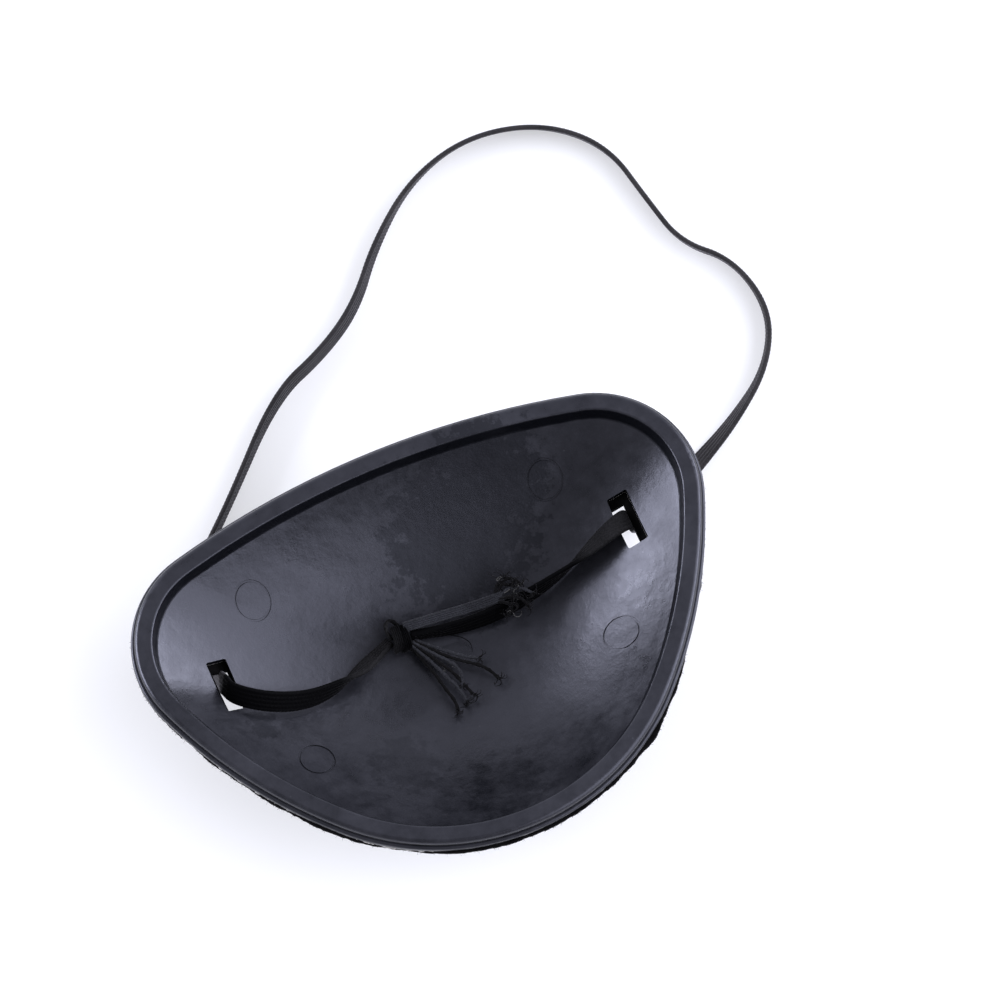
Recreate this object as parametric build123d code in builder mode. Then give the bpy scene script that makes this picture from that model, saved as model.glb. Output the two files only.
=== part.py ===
"""Costume eye patch: a moulded cup with a felt cover, worn on a knotted elastic loop.

Millimetres. The patch lies on its convex back with the hollow side up. The origin is the
middle of the patch's box at the surface it lies on, X runs from slot to slot, +Y points to
the patch's straighter top edge and +Z out of the hollow.
"""

from build123d import *
from math import pi, radians, sin, tan
import os

# ---- driving dimensions ------------------------------------------------------------------

# Outline of the patch: four arcs from the middle of the top edge round to the middle of the
# bottom edge, mirrored. The bottom arc closes the outline, so its radius is worked out.
half_height = 28.61
top_radius, top_turn = 123.0, 13.8
corner_radius, corner_turn = 14.6, 96.6
side_radius, side_turn = 69.0, 24.1

# Heights above the surface that the patch lies on
bowl_depth = 15.0
wall = 1.2
glue_thickness = 0.1
felt_thickness = 1.0
rim_height = bowl_depth + wall + glue_thickness + felt_thickness

# Lip and the ledge below it
ledge_width = 0.45
ledge_thickness = 0.8
lip_width = 2.45
lip_thickness = 2.2
lip_outer_rounding = 0.7
lip_inner_rounding = 0.35
wall_foot_rounding = 0.7
ledge_rounding = 0.35
felt_trim = 0.15

# Dome profile, as shares of the outline's size and shares of the depth: a short steep wall
# under the lip, then a shallow dish that falls by a power of the share to a small flat
wall_foot_share = 0.987
wall_foot_drop = 0.150
dish_power = 2.1
dish_flat_share = 0.14
dish_shares = [wall_foot_share, 0.93, 0.85, 0.73, 0.56, 0.35, dish_flat_share]

# Strap slots
slot_x = 29.2
slot_y = 7.85
slot_width = 2.85
slot_length = 7.5
felt_slot_width = 2.2
felt_slot_length = 5.9
felt_slot_y = slot_y - 0.45
slot_corner = 0.3

# Ring-shaped marks that the ejector pins leave in the bowl
mark_diameter = 5.0
mark_line = 0.3
mark_depth = 0.14
mark_places = [(21.3, 17.4), (-21.3, 17.4), (22.2, -6.35), (-22.2, -6.35)]

# Elastic: a flat braid, 3 mm by 0.75 mm, held here as a round tube of the same section
elastic_diameter = 1.7
floor_line = elastic_diameter / 2

# Routes of the elastic, from the knot out through the left slot, round, and back
left_slot_middle = (-29.3, 8.3, 9.6)
right_slot_middle = (29.3, 7.9, 8.8)

left_route = [
    (-6.2, 6.2, 4.9),
    (-10.5, 4.3, 5.2),
    (-15.1, 2.7, 6.6),
    (-20.2, 2.1, 8.6),
    (-25.2, 3.2, 11.3),
    (-29.2, 5.9, 12.2),
    left_slot_middle,
]
loop_route = [
    left_slot_middle,
    (-29.6, 10.7, 5.6),
    (-29.9, 16.6, 1.6),
    (-28.4, 22.2, floor_line),
    (-24.8, 27.4, floor_line),
    (-17.6, 33.8, floor_line),
    (-6.2, 45.0, floor_line),
    (2.3, 48.2, floor_line),
    (8.9, 52.4, floor_line),
    (14.5, 59.2, floor_line),
    (22.4, 65.7, floor_line),
    (31.9, 68.5, floor_line),
    (41.9, 66.3, floor_line),
    (48.9, 59.8, floor_line),
    (50.8, 50.5, floor_line),
    (52.5, 43.2, floor_line),
    (58.0, 38.2, floor_line),
    (59.7, 29.6, floor_line),
    (56.0, 22.5, floor_line),
    (49.0, 17.4, floor_line),
    (42.2, 13.9, floor_line),
    (36.9, 11.5, 1.0),
    (32.6, 9.8, 2.2),
    (29.9, 8.5, 5.2),
    right_slot_middle,
]
right_route = [
    right_slot_middle,
    (29.0, 7.6, 11.1),
    (26.9, 7.0, 12.4),
    (23.2, 5.9, 11.2),
    (18.3, 4.9, 8.4),
    (12.3, 4.3, 5.8),
    (6.4, 4.2, 4.8),
    (0.8, 4.9, 4.8),
    (-3.2, 6.0, 4.9),
]
upper_tail_route = [
    (-3.8, 7.5, 5.9),
    (-0.8, 7.1, 6.1),
    (4.0, 6.5, 6.1),
    (7.8, 6.0, 6.4),
    (12.0, 5.8, 7.5),
]
lower_tail_route = [
    (-3.9, 4.4, 4.3),
    (-2.6, 2.2, 4.0),
    (-1.0, -0.8, 3.6),
    (1.9, -3.7, 3.4),
]

# Knot
knot_centre = (-4.7, 6.2, 5.1)
knot_radius = 2.1


# ---- shared shapes -----------------------------------------------------------------------

def outline(level, inset, scale=1.0):
    """The patch's outline at a height, moved inwards by inset and then scaled."""
    turned = top_turn + corner_turn + side_turn
    with BuildSketch(Plane.XY.offset(level)) as sketch:
        with BuildLine():
            start = (0, (half_height - inset) * scale)
            top = JernArc(start, (1, 0), (top_radius - inset) * scale, -top_turn)
            corner = JernArc(top @ 1, top % 1, (corner_radius - inset) * scale, -corner_turn)
            side = JernArc(corner @ 1, corner % 1, (side_radius - inset) * scale, -side_turn)
            bottom_radius = (side @ 1).X / sin(radians(turned))
            JernArc(side @ 1, side % 1, bottom_radius, turned - 180)
            mirror(about=Plane.YZ)
        make_face()
    return sketch.sketch


def plate(inset, low, high):
    """A flat plate of the patch's outline between two heights."""
    extrude(outline(low, inset), amount=high - low)


def dish_drop(share):
    """The share of the depth that the dish has fallen where the outline has this share."""
    fallen = 1 - (share / wall_foot_share) ** dish_power
    whole_fall = 1 - (dish_flat_share / wall_foot_share) ** dish_power
    return wall_foot_drop + (1 - wall_foot_drop) * fallen / whole_fall


def dome(inset, depth, mode=Mode.ADD):
    """The bowl's shape as a solid, from the rim down: the short wall, then the dish."""
    wall_profile = [(1.0, 0.0), (wall_foot_share, wall_foot_drop)]
    dish_profile = [(share, dish_drop(share)) for share in dish_shares]
    for profile in (wall_profile, dish_profile):
        sections = [outline(rim_height - depth * drop, inset, share) for share, drop in profile]
        loft(sections, mode=mode)


def slots(width, length, middle_y):
    """Cut both strap slots straight down through the part."""
    with BuildSketch() as sketch:
        with Locations((slot_x, middle_y), (-slot_x, middle_y)):
            RectangleRounded(width, length, slot_corner)
    extrude(sketch.sketch, amount=rim_height, mode=Mode.SUBTRACT)


def bend_radii(points):
    """The largest even bend at each corner: 0.45 of the shorter run over tan(half the turn)."""
    radii = []
    for before, corner, after in zip(points, points[1:], points[2:]):
        run_in = Vector(corner) - Vector(before)
        run_out = Vector(after) - Vector(corner)
        half_turn = radians(run_in.get_angle(run_out)) / 2
        radii.append(0.45 * min(run_in.length, run_out.length) / tan(half_turn))
    return radii


def elastic(points):
    """A tube along the route, with its length and bend radii printed."""
    radii = bend_radii(points)
    with BuildLine() as path:
        FilletPolyline(points, radius=radii)
    line = path.wires()[0]
    with BuildSketch(Plane(origin=line @ 0, z_dir=line % 0)) as section:
        Circle(elastic_diameter / 2)
    sweep(section.sketch, path=line)
    print(f"  length {line.length:.1f} mm, smallest radius {min(radii):.1f} mm,", end=" ")
    print("radii", [round(radius, 1) for radius in radii])
    return line.length


def compare(name, part, length):
    """Print the tube's volume beside its section times its length."""
    expected = pi * elastic_diameter**2 / 4 * length
    print(f"  {name}: volume {part.volume:.1f} mm3, section x length {expected:.1f} mm3")


os.makedirs("parts", exist_ok=True)

# How far each layer's dome stands in from the outline, and how deep it is
bowl_inset = ledge_width + lip_width
shell_inset = bowl_inset - wall
glue_inset = shell_inset - glue_thickness
felt_inset = glue_inset - felt_thickness
shell_depth = bowl_depth + wall
glue_depth = shell_depth + glue_thickness
felt_depth = glue_depth + felt_thickness

# Heights of the lip's underside and of the layers below it
lip_underside = rim_height - lip_thickness
felt_top = lip_underside - glue_thickness
felt_underside = felt_top - felt_thickness

# ---- ejector-pin marks, as the material they take out of the bowl -------------------------

with BuildPart() as pin_marks:
    dome(bowl_inset - mark_depth, bowl_depth + mark_depth)
    with BuildSketch(Plane.XY):
        with Locations(*mark_places):
            Circle(mark_diameter / 2)
            Circle(mark_diameter / 2 - mark_line, mode=Mode.SUBTRACT)
    extrude(amount=rim_height, mode=Mode.INTERSECT)

# ---- shell: cup, lip and ledge -----------------------------------------------------------

with BuildPart() as shell:
    plate(ledge_width, lip_underside, rim_height)
    fillet(shell.faces().sort_by(Axis.Z)[-1].edges(), lip_outer_rounding)
    plate(0, lip_underside, lip_underside + ledge_thickness)
    ledge_face = shell.faces().filter_by(Axis.Z).sort_by(Axis.Z)[-2]
    fillet(ledge_face.outer_wire().edges(), ledge_rounding)
    dome(shell_inset, shell_depth)
    dome(bowl_inset, bowl_depth, mode=Mode.SUBTRACT)
    lip_face = shell.faces().filter_by(Axis.Z).sort_by(Axis.Z)[-1]
    fillet(lip_face.inner_wires()[0].edges(), lip_inner_rounding)
    foot_level = rim_height - bowl_depth * wall_foot_drop
    foot = shell.edges().filter_by_position(Axis.Z, foot_level - 0.01, foot_level + 0.01)
    fillet(foot, wall_foot_rounding)
    slots(slot_width, slot_length, slot_y)
    add(pin_marks.part, mode=Mode.SUBTRACT)

shell.part.label = "shell"
export_step(shell.part, "parts/shell.step")

# ---- glue film between shell and felt ----------------------------------------------------

with BuildPart() as glue_film:
    plate(ledge_width, felt_top, lip_underside)
    dome(glue_inset, glue_depth)
    dome(shell_inset, shell_depth, mode=Mode.SUBTRACT)
    split(bisect_by=Plane.XY.offset(lip_underside), keep=Keep.BOTTOM)
    slots(slot_width, slot_length, slot_y)

glue_film.part.label = "glue_film"
export_step(glue_film.part, "parts/glue_film.step")

# ---- felt cover --------------------------------------------------------------------------

with BuildPart() as felt_cover:
    plate(felt_trim, felt_underside, felt_top)
    dome(felt_inset, felt_depth)
    dome(glue_inset, glue_depth, mode=Mode.SUBTRACT)
    split(bisect_by=Plane.XY.offset(felt_top), keep=Keep.BOTTOM)
    slots(felt_slot_width, felt_slot_length, felt_slot_y)

felt_cover.part.label = "felt_cover"
export_step(felt_cover.part, "parts/felt_cover.step")

# ---- elastic: left stretch inside the bowl -----------------------------------------------

with BuildPart() as elastic_left:
    left_length = elastic(left_route)

compare("elastic_left", elastic_left.part, left_length)
elastic_left.part.label = "elastic_left"
export_step(elastic_left.part, "parts/elastic_left.step")

# ---- elastic: loop outside the patch -----------------------------------------------------

with BuildPart() as elastic_loop:
    loop_length = elastic(loop_route)

compare("elastic_loop", elastic_loop.part, loop_length)
elastic_loop.part.label = "elastic_loop"
export_step(elastic_loop.part, "parts/elastic_loop.step")

# ---- elastic: right stretch inside the bowl ----------------------------------------------

with BuildPart() as elastic_right:
    right_length = elastic(right_route)

compare("elastic_right", elastic_right.part, right_length)
elastic_right.part.label = "elastic_right"
export_step(elastic_right.part, "parts/elastic_right.step")

# ---- elastic: the two cut ends past the knot ---------------------------------------------

with BuildPart() as elastic_upper_tail:
    upper_tail_length = elastic(upper_tail_route)

compare("elastic_upper_tail", elastic_upper_tail.part, upper_tail_length)
elastic_upper_tail.part.label = "elastic_upper_tail"
export_step(elastic_upper_tail.part, "parts/elastic_upper_tail.step")

with BuildPart() as elastic_lower_tail:
    lower_tail_length = elastic(lower_tail_route)

compare("elastic_lower_tail", elastic_lower_tail.part, lower_tail_length)
elastic_lower_tail.part.label = "elastic_lower_tail"
export_step(elastic_lower_tail.part, "parts/elastic_lower_tail.step")

# ---- elastic: knot, with the four strands let into it ------------------------------------

with BuildPart() as elastic_knot:
    with Locations(knot_centre):
        Sphere(knot_radius)
    add(elastic_left.part, mode=Mode.SUBTRACT)
    add(elastic_right.part, mode=Mode.SUBTRACT)
    add(elastic_upper_tail.part, mode=Mode.SUBTRACT)
    add(elastic_lower_tail.part, mode=Mode.SUBTRACT)

elastic_knot.part.label = "elastic_knot"
export_step(elastic_knot.part, "parts/elastic_knot.step")
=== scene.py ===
"""Looks of the costume eye patch: moulded cup, felt back and knotted flat elastic.

Metres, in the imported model's frame: the patch lies hollow side up on z = 0, X runs from slot
to slot, +Y points to the straighter top edge.
"""

from math import cos, pi, radians, sin

import bmesh
import bpy
from mathutils import Matrix, Vector, noise as noise_field
from mathutils.bvhtree import BVHTree
import numpy as np


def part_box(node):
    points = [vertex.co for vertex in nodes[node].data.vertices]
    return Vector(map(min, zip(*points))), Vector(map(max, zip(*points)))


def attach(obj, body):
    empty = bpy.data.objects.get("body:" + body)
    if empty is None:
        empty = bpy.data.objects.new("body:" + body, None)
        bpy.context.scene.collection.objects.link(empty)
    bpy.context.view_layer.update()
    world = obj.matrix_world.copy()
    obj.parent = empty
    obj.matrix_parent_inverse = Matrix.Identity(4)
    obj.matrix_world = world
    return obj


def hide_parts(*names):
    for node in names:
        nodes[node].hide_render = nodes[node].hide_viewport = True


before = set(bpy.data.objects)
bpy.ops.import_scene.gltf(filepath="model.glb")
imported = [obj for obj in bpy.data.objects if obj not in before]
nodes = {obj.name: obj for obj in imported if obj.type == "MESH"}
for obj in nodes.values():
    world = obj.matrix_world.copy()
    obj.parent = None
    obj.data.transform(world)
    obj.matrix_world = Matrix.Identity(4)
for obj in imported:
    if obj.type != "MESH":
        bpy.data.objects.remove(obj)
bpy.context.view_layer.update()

MM = 0.001

# ---- the cup's shape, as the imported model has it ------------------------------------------

# The outline's right half from the top: each arc's radius and its turn in degrees. One more
# arc closes it.
HALF_HEIGHT = 28.61 * MM
ARCS = ((123.0 * MM, 13.8), (14.6 * MM, 96.6), (69.0 * MM, 24.1))
RIM_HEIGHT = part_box("shell")[1].z
LIP_THICKNESS = 2.2 * MM
GLUE = 0.1 * MM
FELT = 1.0 * MM
BOWL_DEPTH = 15.0 * MM
WALL = 1.2 * MM
# Seen from above, a dome shrinks as it goes down. The foot of its wall, and the middle that is
# flat, are shares of the outline; the foot also has its share of the depth.
WALL_FOOT = (0.987, 0.150)
DISH_RISE, DISH_POWER = 0.8643, 2.1
MIDDLE_FLAT = 0.14
# The felt's two slots: middle X and width.
FELT_SLOTS = ((-29.2 * MM, 2.2 * MM), (28.8 * MM, 1.8 * MM))
FELT_SLOT_Y, FELT_SLOT_LENGTH = 7.4 * MM, 5.9 * MM

FELT_TOP = RIM_HEIGHT - LIP_THICKNESS - GLUE
FELT_UNDERSIDE = FELT_TOP - FELT

# ---- the elastic's route: each point with the direction that its width lies along ---------

ELASTIC_WIDTH = 3.0 * MM
ELASTIC_THICKNESS = 0.72 * MM
FLOOR_LINE = 0.00085
ALONG_X, ALONG_Y, ALONG_Z = (1.0, 0.0, 0.0), (0.0, 1.0, 0.0), (0.0, 0.0, 1.0)

LEFT_ROUTE = [
    ((-0.0062, 0.0062, 0.0049), (0.4, -0.9, 0.3)),
    ((-0.0105, 0.0043, 0.0052), (0.3, -0.8, 0.6)),
    ((-0.0151, 0.0027, 0.0066), (0.0, 0.2, 1.0)),
    ((-0.0202, 0.0021, 0.0086), (0.1, 0.6, 0.8)),
    ((-0.0252, 0.0032, 0.0113), (0.1, 0.7, 0.7)),
    ((-0.0292, 0.0059, 0.0122), (0.3, 0.7, 0.6)),
]
LEFT_SLOT = ((-0.0293, 0.0083, 0.0096), (0.45, 0.6, 0.6))
LOOP_ROUTE = [
    ((-0.0296, 0.0107, 0.0056), (0.3, 0.4, 0.9)),
    ((-0.0299, 0.0166, 0.0016), (0.1, 0.0, 1.0)),
    ((-0.0284, 0.0222, FLOOR_LINE), (-0.1, 0.0, 1.0)),
    ((-0.0248, 0.0274, FLOOR_LINE), (-0.1, 0.1, 1.0)),
    ((-0.0176, 0.0338, FLOOR_LINE), (0.0, 0.1, 1.0)),
    ((-0.0062, 0.0450, FLOOR_LINE), (-0.1, 0.2, 1.0)),
    ((0.0023, 0.0482, FLOOR_LINE), (-0.1, 0.2, 1.0)),
    ((0.0089, 0.0524, FLOOR_LINE), (-0.2, 0.2, 1.0)),
    ((0.0145, 0.0592, FLOOR_LINE), (-0.1, 0.1, 1.0)),
    ((0.0224, 0.0657, FLOOR_LINE), (0.0, -0.1, 1.0)),
    ((0.0319, 0.0685, FLOOR_LINE), (0.0, -0.3, 1.0)),
    ((0.0419, 0.0663, FLOOR_LINE), (-0.1, -0.3, 1.0)),
    ((0.0489, 0.0598, FLOOR_LINE), (-0.2, -0.1, 1.0)),
    ((0.0508, 0.0505, FLOOR_LINE), (-0.2, 0.0, 1.0)),
    ((0.0525, 0.0432, FLOOR_LINE), (-0.2, -0.1, 1.0)),
    ((0.0580, 0.0382, FLOOR_LINE), (-0.2, -0.1, 1.0)),
    ((0.0597, 0.0296, FLOOR_LINE), (0.0, 0.0, 1.0)),
    ((0.0560, 0.0225, FLOOR_LINE), (0.2, -0.1, 1.0)),
    ((0.0490, 0.0174, FLOOR_LINE), (0.3, -0.5, 0.9)),
    ((0.0422, 0.0139, FLOOR_LINE), (0.4, -0.7, 0.6)),
    ((0.0369, 0.0115, 0.0010), (0.4, -0.9, 0.3)),
    ((0.0326, 0.0098, 0.0022), (0.3, -0.9, 0.1)),
    ((0.0299, 0.0085, 0.0052), (0.1, -1.0, 0.0)),
]
RIGHT_SLOT = ((0.0293, 0.0079, 0.0088), (0.0, -1.0, 0.0))
RIGHT_ROUTE = [
    ((0.0292, 0.0080, 0.0099), (0.0, -1.0, 0.1)),
    ((0.0273, 0.0076, 0.0103), (0.2, -0.9, 0.3)),
    ((0.0235, 0.0066, 0.0090), (0.1, -0.6, 0.6)),
    ((0.0185, 0.0053, 0.0070), (0.0, 0.0, 1.0)),
    ((0.0123, 0.0044, 0.0055), (0.0, 0.4, 0.9)),
    ((0.0064, 0.0042, 0.0048), (0.0, 0.4, 0.9)),
    ((0.0008, 0.0049, 0.0048), (0.0, 0.2, 1.0)),
    ((-0.0032, 0.0060, 0.0049), (0.0, 0.1, 1.0)),
]
UPPER_TAIL_ROUTE = [
    ((-0.0038, 0.0071, 0.0059), (0.0, 0.8, 0.3)),
    ((0.0009, 0.0066, 0.0061), (0.1, 0.8, 0.4)),
    ((0.0050, 0.0061, 0.0062), (0.1, 0.8, 0.4)),
    ((0.0080, 0.0058, 0.0065), (0.1, 0.8, 0.3)),
    ((0.0100, 0.0056, 0.0069), ALONG_Y),
]


# ---- camera, at the photograph's viewing angle --------------------------------------------

def add_camera():
    """A long lens high above the patch's near side; the loop is in the upper half."""
    azimuth, elevation = radians(23.5), radians(72.5)
    right = Vector((cos(azimuth), -sin(azimuth), 0))
    back = Vector((-sin(azimuth) * cos(elevation), -cos(azimuth) * cos(elevation), sin(elevation)))
    up = back.cross(right)
    data = bpy.data.cameras.new("camera")
    data.lens = 1000
    data.sensor_width = 36
    data.clip_start = 0.5
    data.clip_end = 20
    frame_width = 133.33 * MM
    frame_right, frame_up = 6.6 * MM, 18.4 * MM
    target = Vector((0, 0, RIM_HEIGHT)) + frame_right * right + frame_up * up
    camera = bpy.data.objects.new("camera", data)
    bpy.context.scene.collection.objects.link(camera)
    place = target + back * (frame_width * data.lens / data.sensor_width)
    turn = Matrix((right, up, back)).transposed().to_4x4()
    camera.matrix_world = Matrix.Translation(place) @ turn
    bpy.context.scene.camera = camera


# ---- node material helpers ----------------------------------------------------------------

def new_material(name):
    """A material with its Principled shader and a short way to add nodes to it."""
    material = bpy.data.materials.new(name)
    material.use_nodes = True
    tree = material.node_tree
    shader = tree.nodes["Principled BSDF"]
    coordinates = tree.nodes.new("ShaderNodeTexCoord").outputs["Object"]
    return material, tree, shader, coordinates


def noise(tree, coordinates, scale, detail=3.0, roughness=0.55, stretch=None):
    """Noise with about `scale` lumps to the millimetre."""
    if stretch:
        mapping = tree.nodes.new("ShaderNodeMapping")
        mapping.inputs["Scale"].default_value = stretch
        tree.links.new(coordinates, mapping.inputs["Vector"])
        coordinates = mapping.outputs["Vector"]
    node = tree.nodes.new("ShaderNodeTexNoise")
    node.inputs["Scale"].default_value = scale / MM
    node.inputs["Detail"].default_value = detail
    node.inputs["Roughness"].default_value = roughness
    tree.links.new(coordinates, node.inputs["Vector"])
    return node.outputs["Fac"]


def ramp(tree, value, stops):
    """A colour or grey ramp: stops are (place, colour) with colour a grey or an RGB triple."""
    node = tree.nodes.new("ShaderNodeValToRGB")
    elements = node.color_ramp.elements
    while len(elements) < len(stops):
        elements.new(0.5)
    for element, (place, colour) in zip(elements, stops):
        element.position = place
        rgb = (colour,) * 3 if isinstance(colour, (int, float)) else colour
        element.color = (*rgb, 1)
    tree.links.new(value, node.inputs["Fac"])
    return node.outputs["Color"]


def calc(tree, operation, a, b):
    """One arithmetic step on two sockets or numbers."""
    node = tree.nodes.new("ShaderNodeMath")
    node.operation = operation
    for socket, value in zip(node.inputs, (a, b)):
        if isinstance(value, (int, float)):
            socket.default_value = value
        else:
            tree.links.new(value, socket)
    return node.outputs["Value"]


def bump(tree, shader, height, distance, strength=1.0, before=None):
    """Bump of that depth in metres, on top of an earlier bump."""
    node = tree.nodes.new("ShaderNodeBump")
    node.inputs["Distance"].default_value = distance
    node.inputs["Strength"].default_value = strength
    tree.links.new(height, node.inputs["Height"])
    if before is not None:
        tree.links.new(before, node.inputs["Normal"])
    tree.links.new(node.outputs["Normal"], shader.inputs["Normal"])
    return node.outputs["Normal"]


# ---- materials ----------------------------------------------------------------------------

def black_plastic():
    """Satin injection-moulded plastic: dull patches, flow marks, dust specks, fine scuffs and
    painted shade.
    """
    material, tree, shader, at = new_material("black_plastic")
    shader.inputs["IOR"].default_value = 1.5
    shader.inputs["Specular Tint"].default_value = (0.83, 0.84, 1.0, 1)
    patches = noise(tree, at, 0.10, detail=6, roughness=0.62)
    clouds = noise(tree, at, 0.5, detail=4, roughness=0.7)
    patch_and_shadow_mask = darker_patches_and_shadow(tree, at, clouds)
    specks = noise(tree, at, 1.3, detail=1)
    dust = ramp(tree, specks, [(0.79, 0.0), (0.84, 0.8)])
    streaks = noise(tree, at, 0.9, detail=2, stretch=(0.12, 1.6, 1.0))
    scuffs = ramp(tree, streaks, [(0.72, 0.0), (0.80, 0.12)])
    marks = calc(tree, "MAXIMUM", dust, calc(tree, "MULTIPLY", scuffs, clouds))
    broad, fine = calc(tree, "MULTIPLY", patches, 0.65), calc(tree, "MULTIPLY", clouds, 0.35)
    mottle = calc(tree, "ADD", broad, fine)
    # Painted shade: the base is darker on steep walls, most of all under the lip, and lighter
    # where the surface faces up, partly a dust film settled there.
    facing = tree.nodes.new("ShaderNodeSeparateXYZ")
    geometry = tree.nodes.new("ShaderNodeNewGeometry")
    tree.links.new(geometry.outputs["Normal"], facing.inputs["Vector"])
    dust_film_and_wall_shade = ramp(tree, facing.outputs["Z"], [(0.25, 0.0), (0.75, 1.0)])
    tone = calc(tree, "SUBTRACT", mottle, calc(tree, "MULTIPLY", patch_and_shadow_mask, 0.44))
    tone = calc(tree, "MULTIPLY", tone, dust_film_and_wall_shade)
    black, film = (0.0015, 0.0018, 0.0030), (0.018, 0.0182, 0.0225)
    base = ramp(tree, tone, [(0.24, black), (0.60, film)])
    mix = tree.nodes.new("ShaderNodeMix")
    mix.data_type = "RGBA"
    tree.links.new(calc(tree, "MULTIPLY", marks, 0.3), mix.inputs["Factor"])
    tree.links.new(base, mix.inputs["A"])
    mix.inputs["B"].default_value = (0.07, 0.07, 0.08, 1)
    tree.links.new(mix.outputs["Result"], shader.inputs["Base Color"])
    gloss = ramp(tree, mottle, [(0.36, 0.24), (0.50, 0.32), (0.62, 0.40)])
    dull = calc(tree, "ADD", gloss, calc(tree, "MULTIPLY", patch_and_shadow_mask, 0.12))
    roughness = calc(tree, "ADD", dull, calc(tree, "MULTIPLY", marks, 0.08))
    tree.links.new(roughness, shader.inputs["Roughness"])
    waves = bump(tree, shader, patches, 0.35 * MM, 0.55)
    grain = bump(tree, shader, clouds, 0.03 * MM, 0.4, before=waves)
    bump(tree, shader, marks, 0.02 * MM, 0.25, before=grain)
    return material


# Darker, duller patches in the bowl, the last a painted shadow of the strap: centre, reach and
# strength.
PATCH_AND_SHADOW_SPOTS = (
    ((0.0075, 0.0150), 0.0105, 1.0),
    ((0.0140, 0.0200), 0.0080, 1.0),
    ((-0.0110, -0.0110), 0.0050, 0.25),
    ((-0.0010, -0.0200), 0.0060, 0.25),
    # Painted shadow: the strap's shadow below the left slot.
    ((-0.0270, 0.0010), 0.0025, 0.8),
)


def darker_patches_and_shadow(tree, at, clouds):
    """Duller, darker patches with ragged edges; the one beside the left slot is painted shadow of
    the strap.
    """
    spread = None
    split = tree.nodes.new("ShaderNodeSeparateXYZ")
    tree.links.new(at, split.inputs["Vector"])
    for (x, y), reach, strength in PATCH_AND_SHADOW_SPOTS:
        across = calc(tree, "POWER", calc(tree, "SUBTRACT", split.outputs["X"], x), 2.0)
        along = calc(tree, "POWER", calc(tree, "SUBTRACT", split.outputs["Y"], y), 2.0)
        distance = calc(tree, "SQRT", calc(tree, "ADD", across, along), 0.0)
        far = calc(tree, "DIVIDE", distance, reach)
        torn = calc(tree, "MULTIPLY", calc(tree, "SUBTRACT", clouds, 0.5), 2.2)
        ragged = calc(tree, "ADD", far, torn)
        patch = calc(tree, "MULTIPLY", ramp(tree, ragged, [(0.74, 1.0), (1.04, 0.0)]), strength)
        spread = patch if spread is None else calc(tree, "MAXIMUM", spread, patch)
    return spread


def black_felt():
    """Needled felt: matted fibres in all directions, with a soft bloom at grazing angles."""
    material, tree, shader, at = new_material("black_felt")
    shader.inputs["Specular IOR Level"].default_value = 0.03
    shader.inputs["Roughness"].default_value = 0.95
    shader.inputs["Sheen Weight"].default_value = 0.02
    shader.inputs["Sheen Roughness"].default_value = 0.5
    shader.inputs["Sheen Tint"].default_value = (0.75, 0.75, 0.85, 1)
    matting = noise(tree, at, 0.35, detail=5, roughness=0.7)
    deep, loose = (0.0012, 0.0011, 0.0012), (0.0038, 0.0036, 0.0038)
    colour = ramp(tree, matting, [(0.3, deep), (0.7, loose)])
    tree.links.new(colour, shader.inputs["Base Color"])
    along_x = noise(tree, at, 2.2, detail=4, stretch=(0.25, 1.3, 1.0))
    along_y = noise(tree, at, 2.4, detail=4, stretch=(1.2, 0.3, 1.1))
    fibres = calc(tree, "MAXIMUM", along_x, along_y)
    lumps = bump(tree, shader, matting, 0.35 * MM, 0.6)
    bump(tree, shader, fibres, 0.12 * MM, 0.9, before=lumps)
    return material


def clear_glue():
    """Dried contact glue: pale and cloudy, with trapped bubbles."""
    material, tree, shader, at = new_material("clear_glue")
    shader.inputs["IOR"].default_value = 1.47
    bubbles = noise(tree, at, 2.5, detail=3)
    colour = ramp(tree, bubbles, [(0.35, (0.30, 0.29, 0.28)), (0.7, (0.66, 0.64, 0.62))])
    tree.links.new(colour, shader.inputs["Base Color"])
    tree.links.new(ramp(tree, bubbles, [(0.3, 0.18), (0.7, 0.42)]), shader.inputs["Roughness"])
    bump(tree, shader, bubbles, 0.08 * MM, 0.6)
    return material


# Painted light along X is given over this run, which spans the two slots.
LIT_RAMP_FROM, LIT_RAMP_RUN = -30 * MM, 60 * MM


def black_yarn(name, dark, light, sheen, painted_light_along_x=None):
    """Textured yarn over rubber: near black face on, greyer where it is worn and dusty, and with
    painted light along X where a ramp is given.
    """
    material, tree, shader, at = new_material(name)
    shader.inputs["Specular IOR Level"].default_value = 0.04
    shader.inputs["Sheen Weight"].default_value = sheen
    shader.inputs["Sheen Roughness"].default_value = 0.35
    shader.inputs["Sheen Tint"].default_value = (0.95, 0.93, 1.0, 1)
    filaments = noise(tree, at, 5.0, detail=3, roughness=0.6)
    wear = noise(tree, at, 0.25, detail=2)
    shade = calc(tree, "MULTIPLY", filaments, calc(tree, "ADD", wear, 0.5))
    # Painted light: a ramp along X lightens the stretches that turn their face up to the light.
    if painted_light_along_x:
        split = tree.nodes.new("ShaderNodeSeparateXYZ")
        tree.links.new(at, split.inputs["Vector"])
        run = calc(tree, "ADD", split.outputs["X"], -LIT_RAMP_FROM)
        run = calc(tree, "DIVIDE", run, LIT_RAMP_RUN)
        shade = calc(tree, "MULTIPLY", shade, ramp(tree, run, painted_light_along_x))
    tree.links.new(ramp(tree, shade, [(0.12, dark), (0.65, light)]), shader.inputs["Base Color"])
    tree.links.new(ramp(tree, filaments, [(0.3, 0.6), (0.7, 0.85)]), shader.inputs["Roughness"])
    bump(tree, shader, filaments, 0.05 * MM, 0.7)
    return material


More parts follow.
